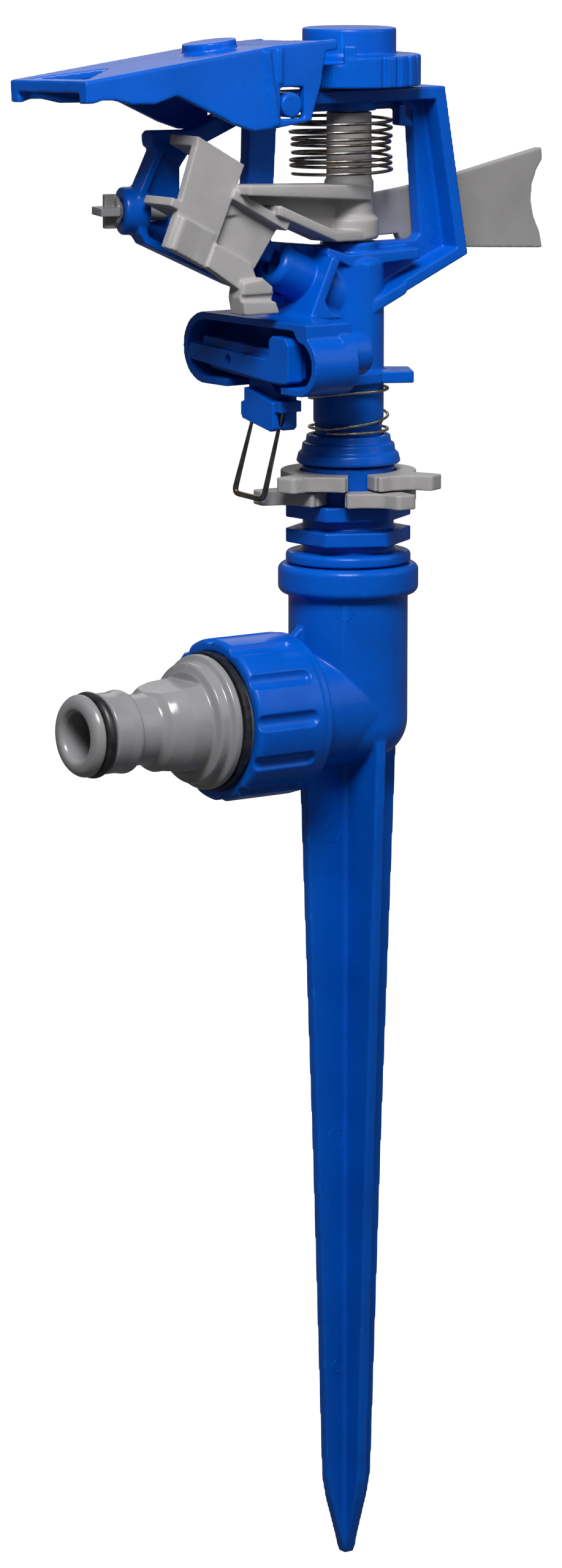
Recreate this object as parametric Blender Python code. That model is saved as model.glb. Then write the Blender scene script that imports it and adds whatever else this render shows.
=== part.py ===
"""Impact sprinkler on a ground spike, as a bench assembly of separate pieces.

Sizes below are in millimetres and are turned into metres where the meshes are made.
The origin is on the spindle axis at ground level, +Z is up.
The hose inlet and the water jet both point along -X, and -Y is the near side of the bridge.
"""
import math

import bmesh
import bpy
from mathutils import Matrix, Vector

MM = 0.001
GAP = 0.3

# ---- driving dimensions, millimetres -------------------------------------------------
STAKE_TIP_Z = -159.7
STAKE_TAPER_Z = -143.8
STAKE_MID_Z = -79.0
BLADE_HALF_TOP = 10.9
BLADE_HALF_MID = 7.6
BLADE_HALF_LOW = 5.3
BLADE_HALF_TIP = 1.1
BLADE_THICK = 2.2

SOCKET_R = 11.5
SOCKET_ROUNDING = 8.0
COLLAR_R = 13.5
COLLAR_Z = (32.3, 38.2)
CHAMBER_R = 8.0
THREAD_BORE_R = 10.1
THREAD_BORE_Z = 24.0

INLET_Z = 10.45
BRANCH_R = 11.3
BRANCH_END = 14.1
BRANCH_BORE_R = 6.0

NUT_R = 15.6
NUT_BACK = BRANCH_END + GAP
NUT_FRONT = 31.9
NUT_FLUTES = 12
NUT_FLUTE_PHASE = 5.0
NIPPLE_END = 63.6
NIPPLE_BORE_R = 4.5

SLEEVE_FLANGE_R = 12.0
HEX_R = 12.25
HEX_TURN = -28.0
SLEEVE_R = 8.9
SLEEVE_BORE_R = 5.3
SLEEVE_TOP_Z = 57.2

COLLAR_RING_R = (9.2, 13.0)
TAB_R = 19.5
TAB_ANGLE = 50.0
LOWER_COLLAR_Z = (50.3, 53.05)
UPPER_COLLAR_Z = (53.35, 56.2)
LOWER_COLLAR_TURN = 219.0
UPPER_COLLAR_TURN = 244.5

BARREL_R = 6.75
BARREL_TOP_Z = 96.0
TUBE_R = 5.0
TUBE_BORE_R = 3.6

JET_ROOT_Z = 88.2
JET_SLOPE = 25.0
NOZZLE_R = 4.5
NOZZLE_FACE = 20.3
NOZZLE_WALL = (10.4, 12.4)
SPOON_ROOT_Z = 86.5

WINDOW_Z = (99.6, 124.7)
BRIDGE_TOP_Z = 128.9
WEB_HALF = 1.45
RIM_NEAR = -5.85
RIM_FAR = 2.5
RIM_THICK = 2.4

HUB_R = 4.7
HUB_Z = (100.3, 124.4)
ARM_TURN = 11.0
ARM_THICK = 1.7
PIN_R = 1.5

HINGE_X = -22.3
HINGE_Z = 127.0
HINGE_R = 2.35
FLAP_HALF = 12.5
FLAP_WALL = 1.6
FLAP_LEAN = -2.0

CAM_R = 13.6
CAM_Z = (129.4, 135.3)
CAP_R = 8.9
CAP_TOP_Z = 140.3
CAM_RIBS = 26

TRIP_FRONT = -23.5
TRIP_BACK = -13.3
TRIP_WALL = 1.5
TRIP_Y = (-21.5, 21.5)
TRIP_Z = (72.9, 86.6)
LEVER_PIVOT = (6.0, 78.2)
DOG_PIVOT = (1.8, 77.6)

WIRE_X = -20.3
WIRE_R = 0.5
WIRE_TOPS = ((2.6, 68.3), (-6.7, 69.8))
WIRE_FEET = ((9.2, 52.2), (-0.3, 51.8))

STOP_LUG_TURN = -31.0

SCREW_TURN = 18.0
SCREW_FACE = (-43.7, 6.05, 107.3)


# ---- mesh helpers --------------------------------------------------------------------
def mesh_object(name, bm):
    bmesh.ops.recalc_face_normals(bm, faces=bm.faces)
    bmesh.ops.scale(bm, vec=(MM, MM, MM), verts=bm.verts)
    mesh = bpy.data.meshes.new(name)
    bm.to_mesh(mesh)
    bm.free()
    obj = bpy.data.objects.new(name, mesh)
    bpy.context.scene.collection.objects.link(obj)
    return obj


def turned(name, profile, segments=32):
    """Closed (radius, z) outline turned about Z; points at radius 0 lie on the axis."""
    bm = bmesh.new()
    rings = []
    for radius, height in profile:
        if radius < 1e-6:
            rings.append([bm.verts.new((0.0, 0.0, height))] * segments)
            continue
        ring = []
        for step in range(segments):
            angle = math.tau * step / segments
            ring.append(bm.verts.new((radius * math.cos(angle), radius * math.sin(angle), height)))
        rings.append(ring)
    for index, ring in enumerate(rings):
        following = rings[(index + 1) % len(rings)]
        for step in range(segments):
            beside = (step + 1) % segments
            corners = [ring[step], ring[beside], following[beside], following[step]]
            distinct = list(dict.fromkeys(corners))
            if len(distinct) > 2:
                bm.faces.new(distinct)
    return mesh_object(name, bm)


def prism(name, outline, low, high, plane="XZ"):
    """Outline extruded between low and high along the axis square to its plane."""
    def place(first, second, along):
        if plane == "XZ":
            return (first, along, second)
        if plane == "YZ":
            return (along, first, second)
        return (first, second, along)

    bm = bmesh.new()
    start = [bm.verts.new(place(a, b, low)) for a, b in outline]
    end = [bm.verts.new(place(a, b, high)) for a, b in outline]
    bm.faces.new(start)
    bm.faces.new(end)
    for index in range(len(outline)):
        beside = (index + 1) % len(outline)
        bm.faces.new((start[index], start[beside], end[beside], end[index]))
    return mesh_object(name, bm)


def box(name, x, y, z):
    return prism(name, [(x[0], z[0]), (x[1], z[0]), (x[1], z[1]), (x[0], z[1])], y[0], y[1])


def wire(name, points, radius, sides=6):
    """Round wire of one radius along a list of points, with flat ends."""
    bm = bmesh.new()
    path = [Vector(point) for point in points]
    across = None
    rings = []
    for index, point in enumerate(path):
        before = path[max(index - 1, 0)]
        after = path[min(index + 1, len(path) - 1)]
        along = (after - before).normalized()
        if across is None:
            across = along.orthogonal().normalized()
        across = (across - along * across.dot(along)).normalized()
        side = along.cross(across)
        ring = []
        for step in range(sides):
            angle = math.tau * step / sides
            offset = across * math.cos(angle) + side * math.sin(angle)
            ring.append(bm.verts.new(point + offset * radius))
        rings.append(ring)
    for ring, following in zip(rings, rings[1:]):
        for step in range(sides):
            beside = (step + 1) % sides
            bm.faces.new((ring[step], ring[beside], following[beside], following[step]))
    bm.faces.new(rings[0])
    bm.faces.new(rings[-1])
    return mesh_object(name, bm)


def arc(centre, radius, start, end, steps):
    points = []
    for step in range(steps + 1):
        angle = math.radians(start + (end - start) * step / steps)
        points.append((centre[0] + radius * math.cos(angle), centre[1] + radius * math.sin(angle)))
    return points


def moved(obj, matrix):
    """Turn and shift the mesh itself; the matrix is in millimetres."""
    matrix = matrix.copy()
    matrix.translation *= MM
    obj.data.transform(matrix)
    return obj


def baked(obj):
    """Replace the object's mesh by its evaluated mesh and clear its modifiers."""
    depsgraph = bpy.context.evaluated_depsgraph_get()
    mesh = bpy.data.meshes.new_from_object(obj.evaluated_get(depsgraph))
    obj.modifiers.clear()
    obj.data = mesh
    return obj


def boolean(obj, others, operation):
    for other in others:
        modifier = obj.modifiers.new("combine", 'BOOLEAN')
        modifier.operation = operation
        modifier.solver = 'EXACT'
        modifier.object = other
        baked(obj)
        bpy.data.objects.remove(other)
    return obj


def joined(obj, *others):
    return boolean(obj, others, 'UNION')


def cut(obj, *others):
    return boolean(obj, others, 'DIFFERENCE')


def tidy(obj):
    """Weld stray points and merge coplanar faces left by the cuts."""
    bm = bmesh.new()
    bm.from_mesh(obj.data)
    bmesh.ops.remove_doubles(bm, verts=bm.verts, dist=0.02 * MM)
    bmesh.ops.dissolve_limit(bm, angle_limit=math.radians(0.3), verts=bm.verts, edges=bm.edges)
    bmesh.ops.triangulate(bm, faces=[face for face in bm.faces if len(face.verts) > 4])
    bm.to_mesh(obj.data)
    bm.free()
    return obj


def along_inlet(obj):
    """Lay a piece turned about Z onto the inlet axis, so its +Z points along -X."""
    turn = Matrix.Rotation(math.radians(-90.0), 4, 'Y')
    return moved(obj, Matrix.Translation((0.0, 0.0, INLET_Z)) @ turn)


def along_jet(obj):
    """Lay a piece made with +Z forward onto the jet axis."""
    turn = Matrix.Rotation(math.radians(-90.0 + JET_SLOPE), 4, 'Y')
    return moved(obj, Matrix.Translation((0.0, 0.0, JET_ROOT_Z)) @ turn)


def jet_point(along, across, root=JET_ROOT_Z):
    """(x, z) of a point given along the jet's slope from the root and square to it, upwards."""
    slope = math.radians(JET_SLOPE)
    x = -(along * math.cos(slope) - across * math.sin(slope))
    z = root + along * math.sin(slope) + across * math.cos(slope)
    return (x, z)


def jet_prism(name, corners, low, high, root=JET_ROOT_Z):
    return prism(name, [jet_point(along, across, root) for along, across in corners], low, high)


def spoon_prism(name, corners, low, high):
    return jet_prism(name, corners, low, high, SPOON_ROOT_Z)


# ---- materials -----------------------------------------------------------------------
def material(name, colour, roughness, metallic=0.0):
    made = bpy.data.materials.new(name)
    made.use_nodes = True
    shader = made.node_tree.nodes["Principled BSDF"]
    shader.inputs["Base Color"].default_value = (*colour, 1.0)
    shader.inputs["Roughness"].default_value = roughness
    shader.inputs["Metallic"].default_value = metallic
    return made


def blue_plastic(node):
    return material(node + "_blue", (0.005, 0.085, 0.50), 0.38)


def grey_plastic(node):
    return material(node + "_grey", (0.36, 0.355, 0.35), 0.5)


def black_rubber(node):
    return material(node + "_rubber", (0.012, 0.012, 0.013), 0.5)


def white_washer(node):
    return material(node + "_white", (0.75, 0.74, 0.70), 0.45)


def steel(node):
    return material(node + "_steel", (0.52, 0.47, 0.40), 0.28, 1.0)


def finish(obj, make_material, parent):
    """Clean the mesh, give it its own material and hang it on its joint's empty."""
    tidy(obj)
    obj.data.materials.clear()
    obj.data.materials.append(make_material(obj.name))
    obj.data.shade_smooth()
    obj.data.set_sharp_from_angle(angle=math.radians(32.0))
    obj.data.transform(parent.matrix_world.inverted())
    obj.parent = parent
    return obj


def axis_empty(name, place, parent=None):
    """Empty on a joint's axis; its pieces are parented to it."""
    obj = bpy.data.objects.new(name, None)
    bpy.context.scene.collection.objects.link(obj)
    here = Vector(place) * MM
    obj.location = here if parent is None else here - parent.matrix_world.translation
    obj.parent = parent
    bpy.context.view_layer.update()
    return obj


# ---- ground stake and inlet ----------------------------------------------------------
def ground_stake(parent):
    half_outline = [(BLADE_HALF_TOP, 6.0), (BLADE_HALF_TOP, 0.0), (BLADE_HALF_MID, STAKE_MID_Z),
                    (BLADE_HALF_LOW, STAKE_TAPER_Z), (BLADE_HALF_TIP, STAKE_TIP_Z)]
    outline = half_outline + [(-x, z) for x, z in reversed(half_outline)]
    stake = prism("ground_stake", outline, -BLADE_THICK / 2, BLADE_THICK / 2)
    other_blade = prism("blade", outline, -BLADE_THICK / 2, BLADE_THICK / 2, "YZ")
    rounding = arc((SOCKET_R - SOCKET_ROUNDING, SOCKET_ROUNDING), SOCKET_ROUNDING, -90, 0, 6)
    socket = turned("socket", [(0.0, 0.0)] + rounding + [
        (SOCKET_R, COLLAR_Z[0]), (COLLAR_R - 0.7, COLLAR_Z[0] + 0.3), (COLLAR_R, COLLAR_Z[0] + 1.1),
        (COLLAR_R, COLLAR_Z[1] - 0.8), (COLLAR_R - 0.7, COLLAR_Z[1]), (0.0, COLLAR_Z[1])], 40)
    branch = along_inlet(turned("branch", [
        (0.0, 0.0), (BRANCH_R, 0.0), (BRANCH_R, BRANCH_END - 0.4), (BRANCH_R - 0.4, BRANCH_END),
        (0.0, BRANCH_END)], 32))
    gusset = prism("gusset", [(-SOCKET_R + 1.0, 20.0), (-BRANCH_END, 20.0), (-BRANCH_END, 24.6),
                              (-SOCKET_R + 1.0, 27.6)], -1.0, 1.0)
    joined(stake, other_blade, socket, branch, gusset)
    chamber = turned("chamber", [(0.0, 5.0), (CHAMBER_R, 6.5), (CHAMBER_R, THREAD_BORE_Z),
                                 (THREAD_BORE_R, THREAD_BORE_Z), (THREAD_BORE_R, COLLAR_Z[1] + 1.0),
                                 (0.0, COLLAR_Z[1] + 1.0)], 32)
    passage = along_inlet(turned("passage", [
        (0.0, 3.0), (BRANCH_BORE_R, 3.0), (BRANCH_BORE_R, BRANCH_END + 1.0), (0.0, BRANCH_END + 1.0)], 24))
    cut(stake, chamber, passage)
    return finish(stake, blue_plastic, parent)


def swivel_tailpiece(parent):
    """Flanged bush pushed into the branch; the nut turns on its neck."""
    tail = along_inlet(turned("swivel_tailpiece", [
        (4.3, 8.5), (BRANCH_BORE_R - GAP, 8.5), (BRANCH_BORE_R - GAP, NUT_BACK), (8.6, NUT_BACK),
        (8.6, 17.7), (11.6, 17.7), (11.6, 19.8), (4.3, 19.8)], 28))
    return finish(tail, blue_plastic, parent)


def socket_washer(parent):
    washer = turned("socket_washer", [
        (SLEEVE_BORE_R + 3.0, THREAD_BORE_Z + GAP), (THREAD_BORE_R - GAP, THREAD_BORE_Z + GAP),
        (THREAD_BORE_R - GAP, THREAD_BORE_Z + 1.7), (SLEEVE_BORE_R + 3.0, THREAD_BORE_Z + 1.7)], 28)
    return finish(washer, black_rubber, parent)


def inlet_nut(parent):
    mouth = 13.35
    thread = 12.3
    nut = along_inlet(turned("inlet_nut", [
        (8.9, NUT_BACK), (NUT_R - 1.1, NUT_BACK), (NUT_R - 0.2, NUT_BACK + 0.5),
        (NUT_R - 0.2, NUT_BACK + 2.0), (NUT_R, NUT_BACK + 2.4), (NUT_R, NUT_FRONT - 0.7),
        (NUT_R - 0.6, NUT_FRONT), (mouth, NUT_FRONT), (thread, NUT_FRONT - 1.0), (thread, 17.4),
        (8.9, 17.4)], 48))
    groove_r = 1.75
    for index in range(NUT_FLUTES):
        groove = turned("groove", [(0.0, NUT_BACK + 3.6), (groove_r * 0.7, NUT_BACK + 4.0),
                                   (groove_r, NUT_BACK + 5.1), (groove_r, NUT_FRONT + 1.0),
                                   (0.0, NUT_FRONT + 1.0)], 12)
        moved(groove, Matrix.Translation((NUT_R + 0.8, 0.0, 0.0)))
        angle = math.radians(NUT_FLUTE_PHASE + 360.0 * index / NUT_FLUTES)
        moved(groove, Matrix.Rotation(angle, 4, 'Z'))
        cut(nut, along_inlet(groove))
    return finish(nut, blue_plastic, parent)


def tail_washer(parent):
    washer = along_inlet(turned("tail_washer", [(5.2, 20.1), (11.4, 20.1), (11.4, 21.6), (5.2, 21.6)], 28))
    return finish(washer, black_rubber, parent)


def hose_adapter(parent):
    """Threaded spigot, two flanges, flatted boss, catch ring, o-ring groove and nose."""
    profile = [(NIPPLE_BORE_R, 21.9), (12.0, 21.9), (12.0, 33.9), (12.9, 33.9), (12.9, 35.4), (11.6, 35.9),
               (11.6, 37.9), (9.7, 38.4), (9.7, 42.6), (9.3, 43.7), (8.8, 45.1), (8.2, 46.6), (7.0, 47.6),
               (6.75, 48.1), (6.75, 52.8), (7.7, 52.8), (8.0, 53.5), (7.6, 56.0), (7.6, 58.7), (5.8, 58.7),
               (5.8, 61.5), (7.85, 61.5), (7.7, 62.3), (7.0, 63.2), (6.2, NIPPLE_END), (5.1, NIPPLE_END),
               (NIPPLE_BORE_R, 62.9)]
    adapter = along_inlet(turned("hose_adapter", profile, 28))
    top_flat = prism("flat", [(-38.45, INLET_Z + 8.2), (-49.5, INLET_Z + 6.8), (-49.5, INLET_Z + 12.0),
                              (-38.45, INLET_Z + 12.0)], -12.0, 12.0)
    low_flat = box("flat", (-46.0, -38.45), (-12.0, 12.0), (INLET_Z - 11.0, INLET_Z - 7.9))
    cut(adapter, top_flat, low_flat)
    return finish(adapter, grey_plastic, parent)


def inlet_washer(parent):
    washer = along_inlet(turned("inlet_washer", [
        (12.3, 32.2), (13.3, 32.2), (13.3, 33.6), (12.3, 33.6)], 36))
    return finish(washer, black_rubber, parent)


def torus_profile(mean_r, section_r, mid, steps=6):
    points = []
    for step in range(steps):
        angle = math.tau * step / steps
        points.append((mean_r + section_r * math.cos(angle), mid + section_r * math.sin(angle)))
    return points


def nipple_o_ring(parent):
    section = 1.0
    ring = along_inlet(turned("nipple_o_ring", torus_profile(8.15 - section, section, 60.1), 28))
    return finish(ring, black_rubber, parent)


# ---- bearing and trip collars --------------------------------------------------------
def bearing_sleeve(parent):
    groove = 8.75
    sleeve = turned("bearing_sleeve", [
        (SLEEVE_BORE_R, 26.0), (THREAD_BORE_R - GAP, 26.0), (THREAD_BORE_R - GAP, COLLAR_Z[1] + GAP),
        (SLEEVE_FLANGE_R, COLLAR_Z[1] + GAP), (SLEEVE_FLANGE_R, 40.2), (SLEEVE_FLANGE_R - 0.45, 40.65),
        (groove, 40.65), (groove, 50.3), (SLEEVE_R, 50.6), (SLEEVE_R, SLEEVE_TOP_Z),
        (SLEEVE_BORE_R, SLEEVE_TOP_Z)], 36)
    for low, high in ((42.3, 45.1), (47.2, 50.0)):
        corners = [(HEX_R * math.cos(math.radians(HEX_TURN + 60 * k)),
                    HEX_R * math.sin(math.radians(HEX_TURN + 60 * k))) for k in range(6)]
        hexagon = prism("hexagon", corners, low, high, "XY")
        cut(hexagon, turned("hole", [(0.0, low - 1), (groove - 1.0, low - 1), (groove - 1.0, high + 1),
                                     (0.0, high + 1)], 24))
        joined(sleeve, hexagon)
    return finish(sleeve, blue_plastic, parent)


def trip_collar(name, heights, turn, parent):
    """Split friction ring with a stop finger beside each end of its gap."""
    inner, outer = COLLAR_RING_R
    half_gap = 11.5
    outline = arc((0, 0), outer, half_gap, 360 - half_gap, 34)
    outline += arc((0, 0), inner, 360 - half_gap, half_gap, 30)
    ring = prism(name, outline, heights[0], heights[1], "XY")
    for side in (1, -1):
        tip = math.radians(side * TAB_ANGLE)
        square = math.radians(side * (TAB_ANGLE + 90))
        wide = 2.2

        def corner(radius, offset):
            return (radius * math.cos(tip) + offset * math.cos(square),
                    radius * math.sin(tip) + offset * math.sin(square))

        start = math.radians(side * (half_gap + 1.5))
        bend = math.radians(side * (half_gap + 15.0))
        points = [(10.5 * math.cos(start), 10.5 * math.sin(start)),
                  (14.7 * math.cos(start), 14.7 * math.sin(start)),
                  (13.9 * math.cos(bend), 13.9 * math.sin(bend)),
                  corner(15.2, -wide - 0.5), corner(TAB_R - 0.8, -wide), corner(TAB_R - 0.2, -wide + 0.8),
                  corner(TAB_R - 0.2, wide - 0.8), corner(TAB_R - 0.8, wide), corner(12.0, wide + 0.4),
                  corner(10.5, wide - 1.0)]
        joined(ring, prism("finger", points, heights[0], heights[1], "XY"))
    moved(ring, Matrix.Rotation(math.radians(turn), 4, 'Z'))
    return finish(ring, grey_plastic, parent)


# ---- head: bearing side --------------------------------------------------------------
def bearing_tube(parent):
    tube = turned("bearing_tube", [
        (TUBE_BORE_R, 18.2), (7.4, 18.2), (7.4, 20.2), (TUBE_R, 20.2), (TUBE_R, 72.0),
        (TUBE_BORE_R, 72.0)], 28)
    return finish(tube, grey_plastic, parent)


def bearing_washer(name, low, high, make_material, parent):
    washer = turned(name, [(TUBE_R + GAP, low), (7.4, low), (7.4, high), (TUBE_R + GAP, high)], 24)
    return finish(washer, make_material, parent)


def dust_cap(parent):
    cap = turned("dust_cap", [
        (6.75, 57.5), (9.6, 57.5), (10.0, 57.9), (9.6, 59.5), (9.0, 59.9), (8.8, 61.4), (8.2, 61.6),
        (8.0, 63.1), (6.75, 63.1)], 36)
    return finish(cap, blue_plastic, parent)


def helix(radius, low, high, turns, start=0.0, per_turn=18, closed=0.0):
    """Coil from low to high; the first and last closed turns rise by only a wire's thickness."""
    count = int(turns * per_turn)
    dead_rise = 0.75
    points = []
    for step in range(count + 1):
        turn = turns * step / count
        angle = math.radians(start) + math.tau * turn
        if closed == 0.0:
            rise = (high - low) * turn / turns
        elif turn < closed:
            rise = dead_rise * turn / closed
        elif turn > turns - closed:
            rise = high - low - dead_rise * (turns - turn) / closed
        else:
            rise = dead_rise + (high - low - 2 * dead_rise) * (turn - closed) / (turns - 2 * closed)
        points.append((radius * math.cos(angle), radius * math.sin(angle), low + rise))
    return points


def friction_spring(parent):
    spring = wire("friction_spring", helix(7.5, 63.75, 72.35, 3.1, 200.0, closed=1.0), 0.3)
    return finish(spring, steel, parent)


# ---- head: body ----------------------------------------------------------------------
def bridge(name):
    """Open frame around the arm: a flat web with a rim along its outside."""
    outer = [(-25.2, 99.0), (-24.0, BRIDGE_TOP_Z), (18.5, BRIDGE_TOP_Z), (24.2, 96.6), (1.8, 87.2),
             (-5.0, 86.0), (-12.0, 94.0)]
    frame = prism(name, outer, -WEB_HALF, WEB_HALF)
    window = prism("window", [(-19.2, WINDOW_Z[0] + 1.2), (-17.8, WINDOW_Z[1]), (13.9, WINDOW_Z[1]),
                              (16.0, WINDOW_Z[0] + 1.0), (14.8, WINDOW_Z[0]), (-8.0, WINDOW_Z[0])], -8, 8)
    rim_outside = [(-24.0, BRIDGE_TOP_Z), (18.5, BRIDGE_TOP_Z), (24.2, 96.6), (2.0, 86.9)]
    rim_inside = [(2.0, 89.3), (21.6, 97.9), (16.4, BRIDGE_TOP_Z - RIM_THICK),
                  (-24.0, BRIDGE_TOP_Z - RIM_THICK)]
    rim = prism("rim", rim_outside + rim_inside, RIM_NEAR, RIM_FAR)
    cut(frame, window)
    joined(frame, rim)
    floor = prism("floor", [(-9.5, 98.2), (-4.0, 95.6), (12.6, 96.2), (12.6, 98.4), (-4.0, 97.8),
                            (-9.0, 99.4)], RIM_NEAR, 1.2)
    return joined(frame, floor)


def side_bracket(name):
    """Rimmed guard on the far side of the jet; its front end carries the jet breaker screw."""
    outside = [(-9.5, 92.0), (-13.0, 88.4), (-25.2, 92.6), (-44.8, 101.2), (-46.2, 103.2), (-46.2, 111.0),
               (-42.2, 118.6), (-43.2, 119.4), (-43.4, 121.4), (-42.6, 122.2), (-34.3, 122.0),
               (-22.0, 127.0), (-20.0, 124.0), (-32.0, 119.2), (-35.4, 115.0), (-35.4, 105.4), (-13.0, 97.9)]
    guard = prism(name, outside, 2.9, 6.7)
    recess = [(-13.6, 90.0), (-25.4, 94.3), (-43.9, 102.5), (-44.6, 103.8), (-44.6, 110.6), (-40.7, 118.3),
              (-32.0, 117.6), (-21.0, 122.4), (-12.0, 122.0), (-12.0, 98.4)]
    return cut(guard, prism("recess", recess, 0.0, 5.4))


def trip_housing(name):
    """Shell open towards the front: a round far end, a smaller round near end and a squared lip on top."""
    low_y, high_y = TRIP_Y
    low_z, high_z = TRIP_Z
    mid_z = (low_z + high_z) / 2
    radius = (high_z - low_z) / 2
    near_r = 5.85

    def outline(inset):
        r = radius - inset
        far = arc((high_y - radius, mid_z), r, 90, -90, 10)
        near = arc((low_y + near_r, low_z + near_r), near_r - inset, -90, -270, 10)
        return far + near + [(low_y + near_r + 1.6, high_z - inset)]

    shell = prism(name, outline(0.0), TRIP_FRONT, TRIP_BACK, "YZ")
    lip = prism("lip", [(-10.0, high_z - 3.0), (-10.0, high_z), (-18.6, high_z), (-18.6, high_z - 3.0)],
                TRIP_FRONT, TRIP_BACK, "YZ")
    joined(shell, lip)
    cut(shell, prism("cavity", outline(TRIP_WALL), TRIP_FRONT - 1.0, TRIP_BACK - TRIP_WALL, "YZ"))
    throat = box("throat", (TRIP_FRONT - 1.0, TRIP_BACK - TRIP_WALL), (-10.2, 7.4),
                 (low_z - 2.0, low_z + 3.0))
    return cut(shell, throat)


def jet_screw_frame(obj):
    """Place a piece made along +Z on the screw's axis, with z = 0 at the bracket's front wall."""
    face = Matrix.Rotation(math.radians(-90.0), 4, 'Y')
    aim = Matrix.Rotation(math.radians(-SCREW_TURN), 4, 'Z')
    return moved(obj, Matrix.Translation(SCREW_FACE) @ aim @ face)


def head_body(parent):
    body = turned("head_body", [
        (0.0, 58.4), (6.4, 58.4), (6.4, 65.2), (BARREL_R, 65.5), (BARREL_R, BARREL_TOP_Z), (5.5, 97.6),
        (5.5, 99.9), (0.0, 99.9)], 32)
    pivot_boss = turned("pivot_boss", [(0.0, -16.0), (4.3, -16.0), (4.3, -9.6), (3.2, -8.6),
                                       (0.0, -8.6)], 16)
    moved(pivot_boss, Matrix.Translation((0.0, -16.5, 80.6)) @ Matrix.Rotation(math.radians(90.0), 4, 'Y'))
    plate = prism("plate", [(-14.5, 9.0), (-14.5, -9.0), (2.0, -7.6), (7.6, -2.0), (7.6, 2.0), (2.0, 7.6)],
                  73.1, 75.4, "XY")
    stop_lug = prism("stop_lug", [(-3.0, -5.6), (12.1, -4.6), (12.1, 4.6), (-3.0, 5.6)], 73.1, 75.4, "XY")
    moved(stop_lug, Matrix.Rotation(math.radians(STOP_LUG_TURN), 4, 'Z'))
    wall_back, wall_front = NOZZLE_WALL
    nozzle_wall = jet_prism("nozzle_wall", [(wall_back, -9.8), (wall_front, -9.8), (wall_front, 4.9),
                                            (wall_back, 4.9)], -7.4, 7.9)
    passage = along_jet(turned("passage", [(0.0, 0.0), (5.2, 0.0), (5.2, 11.4), (0.0, 11.4)], 20))
    nozzle = along_jet(turned("nozzle", [
        (0.0, 11.7), (NOZZLE_R, 11.7), (NOZZLE_R, NOZZLE_FACE - 1.1), (NOZZLE_R - 1.1, NOZZLE_FACE),
        (0.0, NOZZLE_FACE)], 24))
    neck = prism("neck", [(-16.0, 81.0), (-3.0, 79.0), (-3.0, 92.0), (-10.0, 92.6), (-13.7, 86.1)],
                 -4.1, 4.1)
    hinge_bar = turned("hinge_bar", [(0.0, -12.4), (HINGE_R, -12.4), (HINGE_R, 12.4), (0.0, 12.4)], 16)
    moved(hinge_bar, Matrix.Translation((HINGE_X, 0.0, HINGE_Z)) @ Matrix.Rotation(math.radians(90), 4, 'X'))
    cam_stud = turned("cam_stud", [(0.0, 128.0), (3.0, 128.0), (3.0, 134.4), (2.6, 134.8), (0.0, 134.8)], 20)
    top_boss = turned("top_boss", [(0.0, 124.7), (5.2, 124.7), (5.2, 128.0), (0.0, 128.0)], 20)
    spring_hook = prism("spring_hook", [(9.4, 125.6), (9.4, 121.6), (12.6, 121.2), (12.8, 122.1),
                                        (11.2, 123.4), (11.2, 125.6)], -3.4, -1.0)
    screw_boss = jet_screw_frame(turned("screw_boss", [(0.0, -0.6), (4.5, -0.6), (4.5, 3.2), (4.2, 4.0),
                                                       (3.4, 4.3), (0.0, 4.3)], 20))
    joined(body, plate, stop_lug, trip_housing("housing"), pivot_boss, neck, nozzle_wall, passage, nozzle,
           bridge("bridge"), side_bracket("bracket"), hinge_bar, cam_stud, top_boss, spring_hook, screw_boss)
    bore = turned("bore", [(0.0, 57.0), (SLEEVE_BORE_R, 57.0), (SLEEVE_BORE_R, 84.0), (3.4, 88.0),
                           (0.0, 88.0)], 24)
    water = along_jet(turned("water", [(0.0, 0.0), (3.3, 0.0), (3.3, NOZZLE_FACE - 1.2),
                                       (2.6, NOZZLE_FACE - 1.2), (2.6, NOZZLE_FACE + 1.0),
                                       (0.0, NOZZLE_FACE + 1.0)], 16))
    pin_hole = turned("pin_hole", [(0.0, 92.0), (PIN_R + GAP, 92.0), (PIN_R + GAP, 136.0), (0.0, 136.0)], 16)
    screw_hole = jet_screw_frame(turned("screw_hole", [
        (0.0, -9.0), (2.2, -9.0), (2.2, 5.5), (0.0, 5.5)], 16))
    trip_pin_holes = [trip_pin_solid("hole", LEVER_PIVOT, GAP), trip_pin_solid("hole", DOG_PIVOT, GAP)]
    cut(body, bore, water, pin_hole, screw_hole, *trip_pin_holes)
    return finish(body, blue_plastic, parent)


def main_nozzle(parent):
    nozzle = along_jet(turned("main_nozzle", [
        (1.9, NOZZLE_FACE - 6.0), (3.0, NOZZLE_FACE - 6.0), (3.0, NOZZLE_FACE - 1.5),
        (1.9, NOZZLE_FACE - 1.5)], 20))
    return finish(nozzle, blue_plastic, parent)


def arm_pivot_pin(parent):
    pin = turned("arm_pivot_pin", [(0.0, 93.0), (PIN_R, 93.0), (PIN_R, 133.8), (0.0, 133.8)], 16)
    return finish(pin, steel, parent)


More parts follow.
